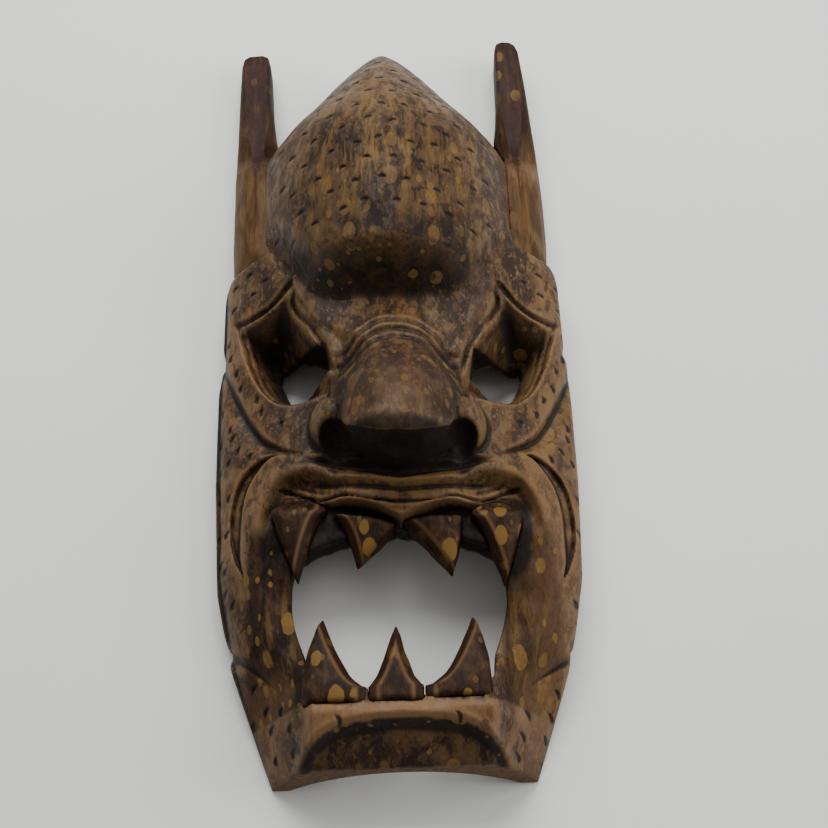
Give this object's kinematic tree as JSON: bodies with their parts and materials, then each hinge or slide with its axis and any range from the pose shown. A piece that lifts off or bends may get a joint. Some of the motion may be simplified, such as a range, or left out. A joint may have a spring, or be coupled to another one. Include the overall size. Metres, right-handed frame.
{
  "type": "noh mask",
  "caption": "Carved wooden demon mask for a wall, with horns, hollow eyes, open toothed mouth and a hollow back.",
  "frame": {"origin": "under the middle of the mask, on the surface that it lies on back rim down", "axes": "+Z out of the face, +Y from the chin towards the horns, +X to the viewer's right"},
  "size_m": [0.162, 0.391, 0.084],
  "materials": {
    "lacquered_wood": "satin lacquer over mottled brown stain",
    "dark_lacquered_wood": "satin lacquer over dark red-brown stain",
    "tooth_wood": "satin lacquer over mottled brown stain",
    "plain_wood": "bare",
    "hanger_steel": "zinc plated",
    "screw_steel": "yellow zinc plated"
  },
  "bodies": {
    "root": {"mask_body": "lacquered_wood", "left_horn": "dark_lacquered_wood", "right_horn": "dark_lacquered_wood", "left_horn_dowels": "plain_wood", "right_horn_dowels": "plain_wood", "upper_left_tusk": "tooth_wood", "upper_left_fang": "tooth_wood", "upper_right_fang": "tooth_wood", "upper_right_tusk": "tooth_wood", "lower_left_fang": "tooth_wood", "lower_middle_fang": "tooth_wood", "lower_right_fang": "tooth_wood", "hanger_plate": "hanger_steel", "hanger_screws": "screw_steel"}
  },
  "joints": []
}
